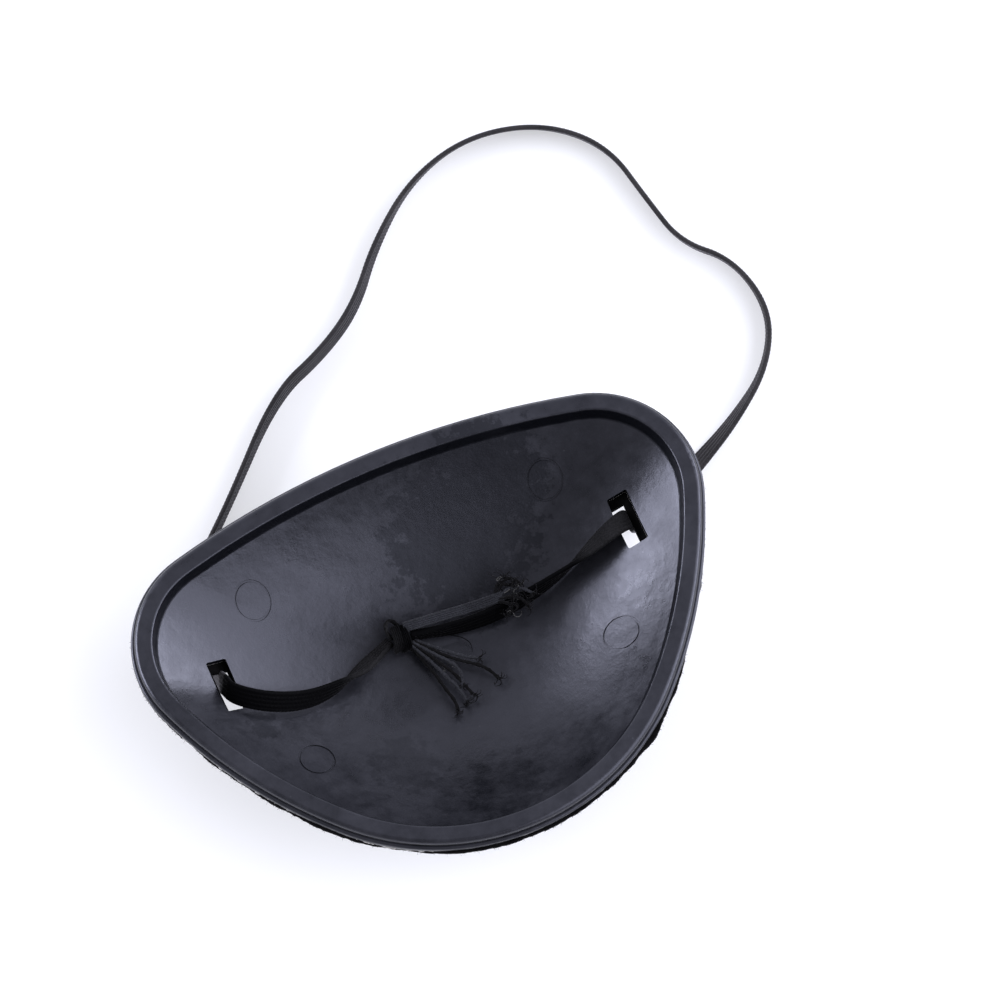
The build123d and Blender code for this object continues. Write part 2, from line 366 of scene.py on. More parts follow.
def rubber_core():
    """The rubber threads inside the braid, which show at the cut ends."""
    material, tree, shader, at = new_material("rubber_core")
    shader.inputs["Roughness"].default_value = 0.5
    grime = noise(tree, at, 2.0, detail=2)
    colour = ramp(tree, grime, [(0.3, (0.03, 0.029, 0.03)), (0.7, (0.09, 0.087, 0.085))])
    tree.links.new(colour, shader.inputs["Base Color"])
    bump(tree, shader, grime, 0.03 * MM, 0.5)
    return material


# ---- mesh helpers -------------------------------------------------------------------------

def add_piece(name, points, faces, material):
    """A piece made of these points and faces."""
    mesh = bpy.data.meshes.new(name)
    mesh.from_pydata([tuple(p) for p in points], [], faces)
    mesh.validate()
    return place_piece(mesh, material)


def place_piece(mesh, material):
    """Put a smooth-shaded mesh in the scene, riding with the patch."""
    mesh.polygons.foreach_set("use_smooth", [True] * len(mesh.polygons))
    mesh.materials.append(material)
    piece = bpy.data.objects.new(mesh.name, mesh)
    bpy.context.scene.collection.objects.link(piece)
    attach(piece, "root")
    return piece


def skin(rings):
    """Points and faces over rings of points: a tube with both ends closed by fans."""
    count, around = len(rings), len(rings[0])
    points = [p for ring in rings for p in ring]
    faces = []
    for i in range(count - 1):
        for j in range(around):
            a, b = i * around + j, i * around + (j + 1) % around
            faces.append((a, b, b + around, a + around))
    for row in (0, count - 1):
        middle = len(points)
        points.append(np.mean(rings[row], axis=0))
        for j in range(around):
            a, b = row * around + j, row * around + (j + 1) % around
            faces.append((middle, a, b) if row else (middle, b, a))
    return points, faces


def read_spline(controls):
    """Points along a smooth NURBS spline with these control points."""
    curve = bpy.data.curves.new("route", "CURVE")
    curve.dimensions = "3D"
    spline = curve.splines.new("NURBS")
    spline.points.add(len(controls) - 1)
    for point, place in zip(spline.points, controls):
        point.co = (*place, 1)
    spline.order_u = 3
    spline.use_endpoint_u = True
    spline.resolution_u = 48
    holder = bpy.data.objects.new("route", curve)
    mesh = bpy.data.meshes.new_from_object(holder)
    points = np.array([v.co for v in mesh.vertices])
    bpy.data.objects.remove(holder)
    bpy.data.curves.remove(curve)
    bpy.data.meshes.remove(mesh)
    return points


def unit(vectors):
    """The same directions at length 1."""
    return vectors / np.linalg.norm(vectors, axis=-1, keepdims=True)


def framed(route, step):
    """The route's spline at even steps: places, directions along, across and through."""
    middle = read_spline([point for point, across in route])
    side = read_spline([Vector(point) + Vector(across) * MM for point, across in route])
    run = np.concatenate([[0], np.cumsum(np.linalg.norm(np.diff(middle, axis=0), axis=1))])
    at = np.linspace(0, run[-1], max(4, round(run[-1] / step)))
    place = np.stack([np.interp(at, run, middle[:, k]) for k in range(3)], axis=1)
    across = np.stack([np.interp(at, run, (side - middle)[:, k]) for k in range(3)], axis=1)
    along = unit(np.gradient(place, axis=0))
    across = unit(across - along * np.sum(across * along, axis=1, keepdims=True))
    return at, place, along, across, np.cross(along, across)


AROUND = 900


def outline_rays():
    """For many even places on the outline: its arc's centre and radius, and the way outwards."""
    arcs = []
    point, heading = Vector((0, HALF_HEIGHT)), 0.0
    for radius, turn in ARCS + ((None, None),):
        turn = pi - heading if turn is None else radians(turn)
        radius = point.x / sin(heading) if radius is None else radius
        centre = point - radius * Vector((sin(heading), cos(heading)))
        arcs.append((centre, radius, heading, turn))
        heading += turn
        point = centre + radius * Vector((sin(heading), cos(heading)))
    lengths = np.array([radius * turn for centre, radius, heading, turn in arcs])
    ends = np.cumsum(lengths)
    rays = []
    half = AROUND // 2
    for k in range(half + 1):
        run = ends[-1] * k / half
        i = min(int(np.searchsorted(ends, run)), len(arcs) - 1)
        centre, radius, heading, turn = arcs[i]
        angle = heading + turn * (1 - (ends[i] - run) / lengths[i])
        rays.append((centre.x, centre.y, radius, sin(angle), cos(angle)))
    right = np.array(rays)
    left = right[-2:0:-1] * (-1, 1, 1, -1, 1)
    return np.concatenate([right, left])


RAYS = outline_rays()


def outline(inset, scale, level):
    """A ring of points on the outline, moved inwards by inset and then scaled, at a height."""
    reach = (RAYS[:, 2] - inset)[:, None] * RAYS[:, 3:5]
    flat = (RAYS[:, 0:2] + reach) * scale
    return np.column_stack([flat, np.full(len(flat), level)])


def tubes(paths, radii, sides=3):
    """Fine tubes along many short paths: paths is (tubes, places, 3), radii one for each tube."""
    count, places = paths.shape[:2]
    along = unit(np.gradient(paths, axis=1))
    other = np.where(np.abs(along[..., 2:3]) > 0.8, (1.0, 0, 0), (0, 0, 1.0))
    side = unit(np.cross(along, other))
    up = np.cross(along, side)
    taper = np.interp(np.linspace(0, 1, places), [0, 0.6, 1], [1, 0.9, 0.35])
    points = []
    for k in range(sides):
        angle = 2 * pi * k / sides
        offset = cos(angle) * side + sin(angle) * up
        points.append(paths + offset * (radii[:, None] * taper)[..., None])
    points = np.stack(points, axis=2).reshape(-1, 3)
    faces = []
    for i in range(count):
        start = i * places * sides
        for j in range(places - 1):
            for k in range(sides):
                a = start + j * sides + k
                b = start + j * sides + (k + 1) % sides
                faces.append((a, b, b + sides, a + sides))
        faces.append(tuple(range(start + sides - 1, start - 1, -1)))
        faces.append(tuple(range(start + (places - 1) * sides, start + places * sides)))
    return points, faces


def curling(rng, starts, directions, lengths, curl, steps):
    """Paths that set off from starts and curl at random."""
    place, heading = np.array(starts, float), unit(np.array(directions, float))
    bend = unit(rng.normal(size=place.shape)) * curl
    paths = [place]
    for _ in range(steps):
        wobble = rng.normal(size=place.shape) * curl * 0.25
        heading = unit(heading + np.cross(bend, heading) + wobble)
        place = place + heading * (np.array(lengths) / steps)[:, None]
        paths.append(place)
    return np.stack(paths, axis=1)


# ---- flat braid ---------------------------------------------------------------------------

RIBS = 5
STITCH = 0.55 * MM
BRAID_STEP = 0.105 * MM
# Between these distances from the knot the braid spreads out from a bunch to its full width.
BUNCHED, SPREAD_OUT = 1.0 * MM, 6.5 * MM


def braid_rings(at, place, across, through, width, thickness, groove):
    """Rings of a flat braid: rounded ribs on both faces, each a chain of slanting stitches.

    width, thickness and groove are one number for each place along the braid.
    """
    samples = 4
    columns = RIBS * samples + 1
    lane = np.linspace(-1, 1, columns)
    rib = np.minimum((np.arange(columns) // samples), RIBS - 1)
    inside = (np.arange(columns) - rib * samples) / samples * 2 - 1
    crown = np.sqrt(np.maximum(0, 1 - (0.96 * inside) ** 2))
    slant = np.where(rib % 2 == 0, 1, -1)
    rings = []
    for i in range(len(at)):
        stitch = np.abs(np.sin(pi * (at[i] / STITCH + 0.35 * slant * inside + 0.5 * rib)))
        raised = (1 - groove[i]) + groove[i] * crown * (0.72 + 0.28 * stitch)
        edge = np.sqrt(np.maximum(0, 1 - lane**8))
        half = thickness[i] / 2 * raised * (0.35 + 0.65 * edge)
        flat = lane * width[i] / 2
        top = place[i] + flat[:, None] * across[i] + half[:, None] * through[i]
        low = place[i] + flat[:, None] * across[i] - half[:, None] * through[i]
        rings.append(np.concatenate([top, low[::-1]]))
    return rings


def blend(value, low, high):
    """Smooth 0 to 1 as value goes from low to high."""
    t = np.clip((np.asarray(value) - low) / (high - low), 0, 1)
    return t * t * (3 - 2 * t)


def add_elastic(yarn, painted_lit_loop_yarn):
    """The ring of elastic from the knot through both slots and back, as three stretches.

    Returns the stretches by CAD node, and the middle line of the one outside the patch.
    """
    route = LEFT_ROUTE + [LEFT_SLOT] + LOOP_ROUTE + [RIGHT_SLOT] + RIGHT_ROUTE
    at, place, along, across, through = framed(route, BRAID_STEP)
    below = np.abs(across[:, 2]) * ELASTIC_WIDTH / 2
    below = below + np.abs(through[:, 2]) * ELASTIC_THICKNESS / 2
    place[:, 2] = np.maximum(place[:, 2], below + 0.02 * MM)
    from_knot = np.minimum(at, at[-1] - at)
    spread = blend(from_knot, BUNCHED, SPREAD_OUT)
    width = ELASTIC_WIDTH * (0.5 + 0.5 * spread)
    thickness = ELASTIC_THICKNESS * (1.7 - 0.7 * spread)
    groove = 0.62 - 0.17 * spread
    rings = braid_rings(at, place, across, through, width, thickness, groove)
    left_cut = int(np.argmin(np.linalg.norm(place - np.array(LEFT_SLOT[0]), axis=1)))
    right_cut = int(np.argmin(np.linalg.norm(place - np.array(RIGHT_SLOT[0]), axis=1)))
    stretches = (
        ("elastic_left", 0, left_cut),
        ("elastic_loop", left_cut, right_cut),
        ("elastic_right", right_cut, len(at) - 1),
    )
    pieces = {}
    for node, start, end in stretches:
        points, faces = skin(rings[start : end + 1])
        # The loop outside the patch takes the lighter copy of the yarn, which is painted light.
        looks = painted_lit_loop_yarn if node == "elastic_loop" else yarn
        piece = add_piece(node + "_braid", points, faces, looks)
        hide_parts(node)
        pieces[node] = piece
    return pieces, place[left_cut : right_cut + 1]


def add_braid(name, route, yarn, width, thickness, groove):
    """A short braid along its own route."""
    at, place, along, across, through = framed(route, BRAID_STEP)
    sizes = [size * np.ones(len(at)) for size in (width, thickness, groove)]
    points, faces = skin(braid_rings(at, place, across, through, *sizes))
    return add_piece(name, points, faces, yarn)


# ---- knot, tails and frayed ends ----------------------------------------------------------

STRAND_WIDTH = 0.56 * MM
KNOT_CENTRE = Vector((-0.0047, 0.0060, 0.0050))
KNOT_TIGHTNESS = 0.78
KNOT_WRAP = [
    ((-0.0054, 0.0052, 0.0042), (1.0, 0.0, 0.2)),
    ((-0.0059, 0.0043, 0.0046), (1.0, 0.2, 0.1)),
    ((-0.0057, 0.0043, 0.0059), (1.0, 0.2, -0.1)),
    ((-0.0053, 0.0056, 0.0069), (1.0, -0.2, -0.1)),
    ((-0.0051, 0.0073, 0.0068), (1.0, -0.2, 0.1)),
    ((-0.0050, 0.0083, 0.0056), (1.0, 0.0, 0.2)),
    ((-0.0049, 0.0081, 0.0041), (1.0, 0.1, 0.1)),
    ((-0.0048, 0.0066, 0.0032), (1.0, 0.2, 0.0)),
    ((-0.0046, 0.0049, 0.0032), (1.0, 0.1, 0.0)),
    ((-0.0044, 0.0040, 0.0043), (1.0, 0.0, 0.1)),
    ((-0.0041, 0.0042, 0.0058), (1.0, 0.1, 0.3)),
    ((-0.0039, 0.0054, 0.0067), (1.0, 0.2, 0.2)),
    ((-0.0039, 0.0068, 0.0065), (1.0, 0.2, 0.0)),
    ((-0.0042, 0.0079, 0.0055), (1.0, 0.1, -0.2)),
    ((-0.0046, 0.0076, 0.0045), (1.0, 0.0, -0.2)),
    ((-0.0048, 0.0066, 0.0046), ALONG_X),
]
KNOT_BIGHT = [
    (-0.0059, 0.0062, 0.0056),
    (-0.0063, 0.0076, 0.0062),
    (-0.0056, 0.0087, 0.0064),
    (-0.0047, 0.0085, 0.0061),
    (-0.0042, 0.0072, 0.0057),
]
TAIL_STRANDS = [
    [
        ((-0.0040, 0.0049, 0.0045), ALONG_X),
        ((-0.0031, 0.0025, 0.0043), ALONG_X),
        ((-0.0023, 0.0001, 0.0041), ALONG_X),
        ((-0.0018, -0.0026, 0.0038), ALONG_X),
        ((-0.0012, -0.0045, 0.0036), ALONG_X),
        ((-0.0014, -0.0057, 0.0035), ALONG_X),
    ],
    [
        ((-0.0038, 0.0050, 0.0047), ALONG_X),
        ((-0.0025, 0.0024, 0.0045), ALONG_X),
        ((-0.0015, 0.0002, 0.0043), ALONG_X),
        ((-0.0009, -0.0014, 0.0041), ALONG_X),
        ((-0.0001, -0.0030, 0.0039), ALONG_X),
        ((0.0002, -0.0050, 0.0036), ALONG_X),
    ],
    [
        ((-0.0036, 0.0051, 0.0047), ALONG_X),
        ((-0.0020, 0.0025, 0.0046), ALONG_X),
        ((-0.0008, 0.0004, 0.0045), ALONG_X),
        ((0.0001, -0.0010, 0.0041), ALONG_X),
        ((0.0006, -0.0026, 0.0040), ALONG_X),
        ((0.0013, -0.0045, 0.0037), ALONG_X),
    ],
    [
        ((-0.0034, 0.0051, 0.0047), ALONG_X),
        ((-0.0015, 0.0026, 0.0046), ALONG_X),
        ((0.0000, 0.0009, 0.0044), ALONG_X),
        ((0.0009, -0.0005, 0.0043), ALONG_X),
        ((0.0009, -0.0018, 0.0041), ALONG_X),
        ((0.0005, -0.0029, 0.0039), ALONG_X),
    ],
    [
        ((-0.0032, 0.0052, 0.0046), ALONG_X),
        ((-0.0010, 0.0027, 0.0045), ALONG_X),
        ((0.0006, 0.0011, 0.0043), ALONG_X),
        ((0.0020, 0.0000, 0.0041), ALONG_Y),
        ((0.0037, -0.0012, 0.0040), ALONG_Y),
        ((0.0049, -0.0027, 0.0039), ALONG_Y),
        ((0.0053, -0.0039, 0.0038), ALONG_Y),
    ],
    [
        ((-0.0030, 0.0053, 0.0045), ALONG_X),
        ((-0.0005, 0.0029, 0.0044), ALONG_X),
        ((0.0012, 0.0015, 0.0042), ALONG_X),
        ((0.0027, 0.0004, 0.0040), ALONG_Y),
        ((0.0039, -0.0002, 0.0039), ALONG_Y),
    ],
]
SPLAYED_RIBS = [
    [
        (0.0092, 0.0058, 0.0067),
        (0.0101, 0.0068, 0.0072),
        (0.0112, 0.0075, 0.0075),
        (0.0122, 0.0072, 0.0075),
        (0.0127, 0.0063, 0.0073),
    ],
    [
        (0.0092, 0.0056, 0.0067),
        (0.0107, 0.0061, 0.0074),
        (0.0119, 0.0058, 0.0077),
        (0.0130, 0.0052, 0.0075),
        (0.0138, 0.0043, 0.0072),
    ],
    [
        (0.0092, 0.0054, 0.0067),
        (0.0105, 0.0051, 0.0075),
        (0.0116, 0.0045, 0.0077),
        (0.0124, 0.0037, 0.0075),
        (0.0126, 0.0030, 0.0070),
    ],
    [
        (0.0091, 0.0052, 0.0067),
        (0.0101, 0.0045, 0.0073),
        (0.0106, 0.0037, 0.0072),
        (0.0102, 0.0031, 0.0067),
    ],
    [
        (0.0091, 0.0060, 0.0067),
        (0.0095, 0.0070, 0.0071),
        (0.0105, 0.0074, 0.0073),
        (0.0109, 0.0066, 0.0074),
        (0.0118, 0.0065, 0.0073),
    ],
]
LOWER_CORE_ENDS = [
    (np.array((0.0002, -0.0002, 0.0042)), (0.3, -0.6, 0.2)),
    (np.array((0.0006, -0.0016, 0.0040)), (0.0, -1.0, 0.1)),
    (np.array((-0.0006, 0.0000, 0.0042)), (-0.2, -0.8, 0.2)),
]
LOOSE_THREAD = [
    (0.0017, 0.0041, 0.0044),
    (0.0026, 0.0037, 0.0040),
    (0.0036, 0.0029, 0.0035),
    (0.0040, 0.0020, 0.0030),
    (0.0037, 0.0012, 0.0027),
]


def upright(points):
    """A strand's route through these points."""
    return [(point, ALONG_Z) for point in points]


def add_strand(name, route, yarn, width):
    """One rib of the braid on its own: a round yarn-covered cord with a slanting lay.

    Returns the piece, its far end and the direction it ends in.
    """
    at, place, along, across, through = framed(route, 0.09 * MM)
    sides = 12
    rings = []
    for i in range(len(at)):
        ring = []
        for k in range(sides):
            angle = 2 * pi * k / sides
            lay = abs(sin(1.5 * angle + pi * at[i] / (STITCH * 1.3)))
            radius = width / 2 * (0.80 + 0.20 * lay) * (1 + 0.12 * sin(2.1 * at[i] / width))
            ring.append(place[i] + radius * (cos(angle) * across[i] + sin(angle) * through[i]))
        rings.append(np.array(ring))
    points, faces = skin(rings)
    return add_piece(name, points, faces, yarn), place[-1], along[-1]


def add_frays(name, ends, yarn, count, length, radius, spread, curl, lift, seed):
    """Loose filaments that spring from cut ends, count from each. ends are (place, direction)."""
    rng = np.random.default_rng(seed)
    starts, directions = [], []
    for place, direction in ends:
        starts += list(place + rng.normal(size=(count, 3)) * STRAND_WIDTH * 0.25 * (1, 1, 0.6))
        scatter = rng.normal(size=(count, 3)) * spread
        directions += list(unit(np.array([direction])) + scatter + (0, 0, lift))
    lengths = length * rng.uniform(0.45, 1.15, len(starts))
    paths = curling(rng, starts, directions, lengths, curl, 9)
    paths = keep_above_bowl(paths, radius)
    points, faces = tubes(paths, radius * rng.uniform(0.7, 1.2, len(starts)), sides=4)
    return add_piece(name, points, faces, yarn)


def keep_above_bowl(paths, margin):
    """Lift any point that would lie in the cup."""
    bowl = BVHTree.FromObject(nodes["shell"], bpy.context.evaluated_depsgraph_get())
    flat = paths.reshape(-1, 3)
    down = Vector((0, 0, -1))
    for point in flat:
        hit = bowl.ray_cast(Vector((point[0], point[1], RIM_HEIGHT + 10 * MM)), down)[0]
        if hit is not None:
            point[2] = max(point[2], hit.z + margin)
    return flat.reshape(paths.shape)


def tightened(place):
    """A point of the loose knot, pulled in towards its centre."""
    return KNOT_CENTRE + KNOT_TIGHTNESS * (Vector(place) - KNOT_CENTRE)


def add_knot(yarn, worn, dark, core):
    """The pulled-tight knot, the two cut tails and their frayed ends."""
    wrap = [(tightened(place), across) for place, across in KNOT_WRAP]
    knot = add_braid("knot_wrap", wrap, yarn, 1.25 * MM, 0.75 * MM, 0.6)
    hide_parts("elastic_knot")
    bight = add_strand("knot_bight", upright(KNOT_BIGHT), yarn, STRAND_WIDTH)[0]
    upper = add_braid("upper_tail_braid", UPPER_TAIL_ROUTE, worn, 1.35 * MM, 0.75 * MM, 0.55)
    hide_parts("elastic_upper_tail")
    pieces = [knot, bight, upper]
    upper_ends, lower_ends = [], []
    for k, route in enumerate(TAIL_STRANDS):
        looks, name = worn if k % 2 else dark, f"lower_tail_strand_{k + 1}"
        strand, end, direction = add_strand(name, route, looks, 0.5 * MM)
        pieces.append(strand)
        lower_ends.append((end, direction))
    for k, route in enumerate(SPLAYED_RIBS):
        looks, name = worn if k == 1 else dark, f"upper_tail_rib_{k + 1}"
        rib, end, direction = add_strand(name, upright(route), looks, 0.46 * MM)
        pieces.append(rib)
        upper_ends.append((end, direction))
        upper_ends.append((np.array(route[2]), -direction))
    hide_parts("elastic_lower_tail")
    pieces += [
        add_frays(name, ends, looks, count, length * MM, radius * MM, spread, curl, lift, seed)
        for name, ends, looks, count, length, radius, spread, curl, lift, seed in (
            ("upper_tail_fray", upper_ends, dark, 12, 2.0, 0.06, 0.7, 0.45, 0.3, 3),
            ("upper_tail_cores", upper_ends[::3], core, 2, 2.0, 0.08, 0.8, 0.45, 0.3, 4),
            ("lower_tail_fray", lower_ends, dark, 9, 1.9, 0.06, 0.5, 0.35, 0.1, 5),
            ("lower_tail_cores", LOWER_CORE_ENDS, core, 2, 1.6, 0.06, 0.8, 0.5, 0.2, 6),
        )
    ]
    return pieces


def add_loose_thread(yarn):
    """One pulled thread that hangs off the right stretch."""
    path = read_spline(LOOSE_THREAD)[::8]
    path = keep_above_bowl(path[None], 0.06 * MM)
    points, faces = tubes(path, np.array([0.07 * MM]), sides=6)
    return add_piece("loose_thread", points, faces, yarn)


# ---- felt ---------------------------------------------------------------------------------

FELT_INSET = 0.6 * MM
FELT_DEPTH = BOWL_DEPTH + WALL + GLUE + FELT
FELT_TRIM = 0.15 * MM
# Where the scissors strayed: the middle of the place, its width and how far they went.
FELT_RECESS = ((0.0303, -0.0108), 2.8 * MM, 0.75 * MM)
FELT_TONGUE = ((0.0195, -0.0223), 1.8 * MM, 0.40 * MM)
FELT_SHORT = ((-0.0175, -0.0225), 4.5 * MM, 0.30 * MM)
# On the near side the felt stands out past the ledge, most of all from this far down.
FELT_OVERHANG, FELT_OVERHANG_FROM = 0.34 * MM, 20 * MM
# The felt bends out under the lip from this far below it, to a brim this wide.
FELT_BEND, FELT_BRIM = 0.9 * MM, 0.45 * MM
OUTER_ROWS, INNER_ROWS = 62, 24
# The cut edge's own rounding: millimetres in from the trim and share of the thickness.
CUT_EDGE = ((0.2, 0.02), (0.06, 0.12), (0.0, 0.35), (0.0, 0.65), (0.06, 0.9), (0.25, 1.0))
FUZZ_COUNT = 7000
FUZZ_LENGTHS = (0.25, 0.65)
FUZZ_RADII = (0.010, 0.022)


def wander(points, size, seed):
    """Smooth noise from -1 to 1 at each point, with lumps of about that size in metres."""
    shift = Vector((seed * 17.3, seed * 5.1, seed * 9.7))
    return np.array([turbulence(Vector(p) / size + shift) for p in points])


def turbulence(place):
    """Smooth noise with a finer layer on it."""
    return noise_field.noise(place) + 0.5 * noise_field.noise(place * 2.1)


def ragged_trim():
    """How far the felt's cut edge stands in from the outline, all the way round."""
    edge = outline(FELT_TRIM, 1.0, 0.0)
    trim = FELT_TRIM + 0.10 * MM * wander(edge, 3.0 * MM, 1)
    trim += 0.05 * MM * wander(edge, 0.6 * MM, 2)
    trim += strayed(edge, FELT_RECESS)
    trim += strayed(edge, FELT_SHORT)
    trim -= FELT_OVERHANG * np.clip(-edge[:, 1] / FELT_OVERHANG_FROM, 0, 1)
    trim -= strayed(edge, FELT_TONGUE)
    return trim


def strayed(edge, place):
    """How far the cut has strayed at each point of the edge."""
    (x, y), width, depth = place
    return depth * np.exp(-(np.hypot(edge[:, 0] - x, edge[:, 1] - y) / width) ** 2)


def dome_drop(share):
    """How much of its depth a dome has gone down where it has shrunk to that share."""
    foot, drop = WALL_FOOT
    wall = drop * (1 - share) / (1 - foot)
    dish = drop + DISH_RISE * (1 - (share / foot) ** DISH_POWER)
    return np.where(share > foot, wall, dish)


def dome_ring(inset, depth, share):
    """A ring of points on a dome."""
    return outline(inset, share, RIM_HEIGHT - depth * min(1.0, float(dome_drop(share))))


def dome_share(level, depth):
    """The share of the outline at which a dome of that depth reaches a height."""
    shares = np.linspace(1, MIDDLE_FLAT, 2000)
    return float(np.interp((RIM_HEIGHT - level) / depth, dome_drop(shares), shares))


def add_felt(felt):
    """The felt cover: matted and slightly lumpy outside, with an uneven scissor-cut edge."""
    trim = ragged_trim()
    flange = dome_share(FELT_UNDERSIDE - FELT_BEND, FELT_DEPTH)
    outer_shares = np.linspace(MIDDLE_FLAT, flange, OUTER_ROWS)
    rows = [outline(FELT_INSET, MIDDLE_FLAT * part, 0.0) for part in (0.25, 0.6)]
    rows += [dome_ring(FELT_INSET, FELT_DEPTH, share) for share in outer_shares]
    hip = rows[-1]
    corner = dome_ring(FELT_INSET, FELT_DEPTH, dome_share(FELT_UNDERSIDE, FELT_DEPTH))
    brim = outline(trim + FELT_BRIM, 1.0, FELT_UNDERSIDE)
    for t in (0.25, 0.5, 0.75, 1.0):
        rows.append((1 - t) ** 2 * hip + 2 * t * (1 - t) * corner + t * t * brim)
    for inset, rise in CUT_EDGE:
        rows.append(outline(trim + inset * MM, 1.0, FELT_UNDERSIDE + rise * FELT))
    outer = len(rows)
    inner_inset, inner_depth = FELT_INSET + FELT, FELT_DEPTH - FELT
    inner_shares = np.linspace(dome_share(FELT_TOP, inner_depth), MIDDLE_FLAT, INNER_ROWS)
    rows += [dome_ring(inner_inset, inner_depth, share) for share in inner_shares]
    rows += [outline(inner_inset, MIDDLE_FLAT * part, FELT) for part in (0.6, 0.25)]
    points, faces = skin(rows)
    points = roughened(np.array(points), faces, outer * AROUND)
    piece = add_piece("felt_backing", points, faces, felt)
    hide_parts("felt_cover")
    cut_slots(piece)
    return piece


def roughened(points, faces, count):
    """The points with the first count of them, the outside, moved by the felt's unevenness."""
    shape = bpy.data.meshes.new("felt_shape")
    shape.from_pydata([tuple(p) for p in points], [], faces)
    normals = np.array([v.normal for v in shape.vertices])
    bpy.data.meshes.remove(shape)
    rough = 0.09 * MM * wander(points[:count], 1.7 * MM, 3)
    rough += 0.05 * MM * wander(points[:count], 0.45 * MM, 4)
    points[:count] += normals[:count] * (rough - 0.05 * MM)[:, None]
    points[:count, 2] = np.maximum(points[:count, 2], 0)
    return points


def cut_slots(piece):
    """Cut both slots straight down through a piece."""
    for middle_x, width in FELT_SLOTS:
        middle = (middle_x, FELT_SLOT_Y, RIM_HEIGHT / 2)
        bpy.ops.mesh.primitive_cube_add(size=1, location=middle)
        cutter = bpy.context.object
        cutter.scale = (width, FELT_SLOT_LENGTH, RIM_HEIGHT * 1.5)
        modifier = piece.modifiers.new("slot", "BOOLEAN")
        modifier.object = cutter
        modifier.solver = "EXACT"
        bpy.context.view_layer.objects.active = piece
        bpy.ops.object.modifier_apply(modifier=modifier.name)
        bpy.data.objects.remove(cutter)


def add_fuzz(felt_piece, felt):
    """Short stray fibres on the felt's outside and along its cut edge."""
    rng = np.random.default_rng(8)
    mesh = felt_piece.data
    centres = np.array([p.center for p in mesh.polygons])
    normals = np.array([p.normal for p in mesh.polygons])
    areas = np.array([p.area for p in mesh.polygons])
    away = unit(centres - (0, 0, RIM_HEIGHT * 1.2))
    outside = np.sum(normals * away, axis=1) > 0.15
    edge = (centres[:, 2] > FELT_UNDERSIDE) & (centres[:, 2] < FELT_TOP)
    weight = areas * (outside * 1.0 + edge * outside * 5.0)
    chosen = rng.choice(len(centres), FUZZ_COUNT, p=weight / weight.sum())
    outwards = normals[chosen]
    loose = unit(rng.normal(size=(FUZZ_COUNT, 3)))
    lying = unit(loose - outwards * np.sum(loose * outwards, axis=1, keepdims=True))
    directions = lying + outwards * rng.uniform(0.0, 0.3, (FUZZ_COUNT, 1))
    starts = centres[chosen] - outwards * 0.03 * MM
    lengths = rng.uniform(*FUZZ_LENGTHS, FUZZ_COUNT) * MM
    paths = curling(rng, starts, directions, lengths, 0.35, 4)
    paths[..., 2] = np.clip(paths[..., 2], 0.01 * MM, None)
    points, faces = tubes(paths, rng.uniform(*FUZZ_RADII, FUZZ_COUNT) * MM)
    return add_piece("felt_fuzz", points, faces, felt)


# ---- glue squeezed out along the edge -----------------------------------------------------

# Each run's two ends and its number of beads.
GLUE_RUNS = (
    ((-0.0220, -0.0193), (-0.0134, -0.0247), 30),
    ((-0.0385, 0.0060), (-0.0290, -0.0125), 16),
)


def add_glue_beads(glue):
    """Pale beads and smears of dried glue between the ledge and the felt."""
    rng = np.random.default_rng(12)
    bm = bmesh.new()
    edge = outline(0.16 * MM, 1.0, FELT_TOP)
    ahead = unit(np.roll(edge, -1, axis=0) - edge)
    for start, end, count in GLUE_RUNS:
        for k in range(count):
            run = (np.array(end) - start) * (k + rng.uniform(-0.4, 0.4)) / (count - 1)
            x, y = np.array(start) + run
            i = int(np.argmin(np.hypot(edge[:, 0] - x, edge[:, 1] - y)))
            long, thick = rng.uniform(0.25, 0.75) * MM, rng.uniform(0.09, 0.19) * MM
            turn = Vector(ahead[i]).to_track_quat("X", "Z").to_matrix().to_4x4()
            shape = Matrix.Diagonal((long, thick * 1.2, thick, 1))
            rise = Vector((0, 0, rng.uniform(-0.14, 0.04) * MM))
            bead = Matrix.Translation(Vector(edge[i]) + rise) @ turn @ shape
            bmesh.ops.create_icosphere(bm, subdivisions=3, radius=1, matrix=bead)
    bm.normal_update()
    for vertex in bm.verts:
        vertex.co += vertex.normal * 0.05 * MM * turbulence(vertex.co / (0.25 * MM))
    mesh = bpy.data.meshes.new("glue_beads")
    bm.to_mesh(mesh)
    bm.free()
    return place_piece(mesh, glue)


# ---- stage --------------------------------------------------------------------------------

# Each light's direction from the patch in degrees (azimuth 0 is +X, 90 is +Y), size in metres
# and radiance.
LIGHTS = (
    ("right_light", -24, 33, (1.75, 0.9), 3.3),
    ("right_strip", -2, 17, (0.8, 0.26), 7.0),
    ("left_light", 148, 17, (0.68, 0.46), 12.5),
    ("far_light", 88, 26, (2.0, 0.7), 0.75),
    ("top_light", 66, 74, (0.9, 0.9), 0.35),
)
LIGHT_COLOUR = (0.88, 0.90, 1)
LIGHT_DISTANCE = 0.9


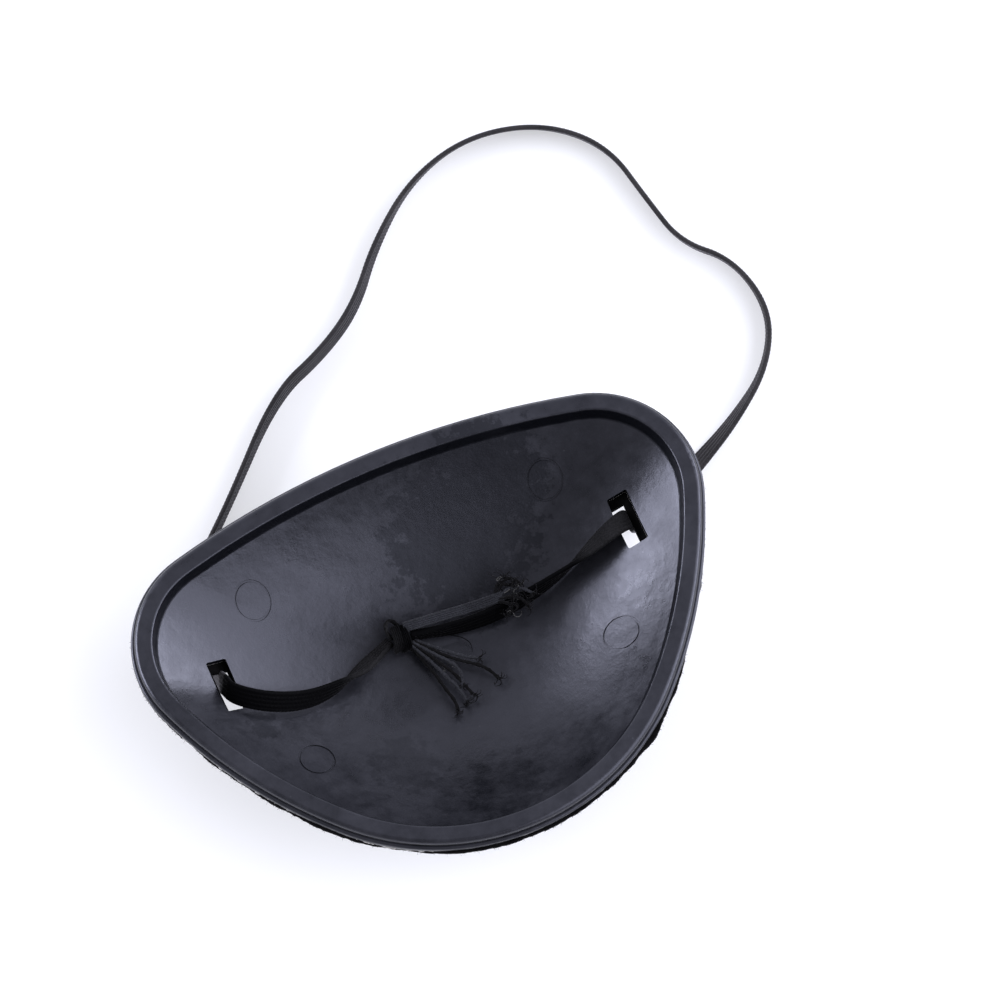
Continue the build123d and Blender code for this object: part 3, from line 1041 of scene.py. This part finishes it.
def add_stage():
    """A plain white table, which glows a little, under soft lights and a pale sky."""
    bpy.ops.mesh.primitive_plane_add(size=4, location=(0, 0, 0))
    floor = bpy.context.object
    floor.name = "floor"
    material, tree, shader, at = new_material("white_table")
    shader.inputs["Base Color"].default_value = (0.66, 0.66, 0.68, 1)
    shader.inputs["Roughness"].default_value = 0.9
    shader.inputs["Specular IOR Level"].default_value = 0.1
    shader.inputs["Emission Color"].default_value = (1, 1, 1, 1)
    shader.inputs["Emission Strength"].default_value = 0.35
    floor.data.materials.append(material)

    world = bpy.data.worlds.new("world")
    bpy.context.scene.world = world
    world.use_nodes = True
    background = world.node_tree.nodes["Background"]
    background.inputs["Color"].default_value = (0.95, 0.95, 1, 1)
    background.inputs["Strength"].default_value = 0.34
    for light in LIGHTS:
        softbox(*light)


def softbox(name, azimuth, elevation, size, radiance):
    """A large soft light in that direction, facing the patch and unseen by the camera."""
    data = bpy.data.lights.new(name, "AREA")
    data.shape = "RECTANGLE"
    data.size, data.size_y = size
    data.energy = radiance * pi * size[0] * size[1]
    data.color = LIGHT_COLOUR
    light = bpy.data.objects.new(name, data)
    bpy.context.scene.collection.objects.link(light)
    around, up = radians(azimuth), radians(elevation)
    away = Vector((cos(around) * cos(up), sin(around) * cos(up), sin(up)))
    light.location = away * LIGHT_DISTANCE
    light.rotation_euler = away.to_track_quat("Z", "Y").to_euler()
    light.visible_camera = False


# ---- the whole scene ----------------------------------------------------------------------

add_camera()
plastic = black_plastic()
felt = black_felt()
glue = clear_glue()
# Painted light: the ring is lighter beside the knot and at the right slot, where its face turns up
# to the light.
painted_light_stretches = [
    (0.24, 0.0),
    (0.30, 1.0),
    (0.39, 1.0),
    (0.43, 0.2),
    (0.47, 0.0),
    (0.83, 0.0),
    (0.88, 1.0),
]
dark, light = (0.0010, 0.0010, 0.0014), (0.018, 0.0175, 0.019)
yarn = black_yarn("black_elastic", dark, light, 0.06, painted_light_stretches)
# The loop on the table is a lighter copy of the elastic: painted light for the brighter light it
# gets out there.
painted_lit_loop_yarn = black_yarn("painted_lit_loop_elastic", (0.006, 0.0058, 0.0062), (0.034, 0.032, 0.034), 0.35)
worn = black_yarn("worn_elastic", (0.007, 0.0072, 0.0086), (0.038, 0.039, 0.046), 0.12)
dark_yarn = black_yarn("dark_elastic", (0.0010, 0.0010, 0.0013), (0.008, 0.0078, 0.0085), 0.1)
core = rubber_core()

for node, material in (("shell", plastic), ("glue_film", glue)):
    mesh = nodes[node].data
    mesh.materials.clear()
    mesh.materials.append(material)

stretches, loop_path = add_elastic(yarn, painted_lit_loop_yarn)
knot_pieces = add_knot(yarn, worn, dark_yarn, core)
thread = add_loose_thread(yarn)

felt_piece = add_felt(felt)
fuzz = add_fuzz(felt_piece, felt)
add_glue_beads(glue)

add_stage()
bpy.context.scene.view_settings.view_transform = "Standard"
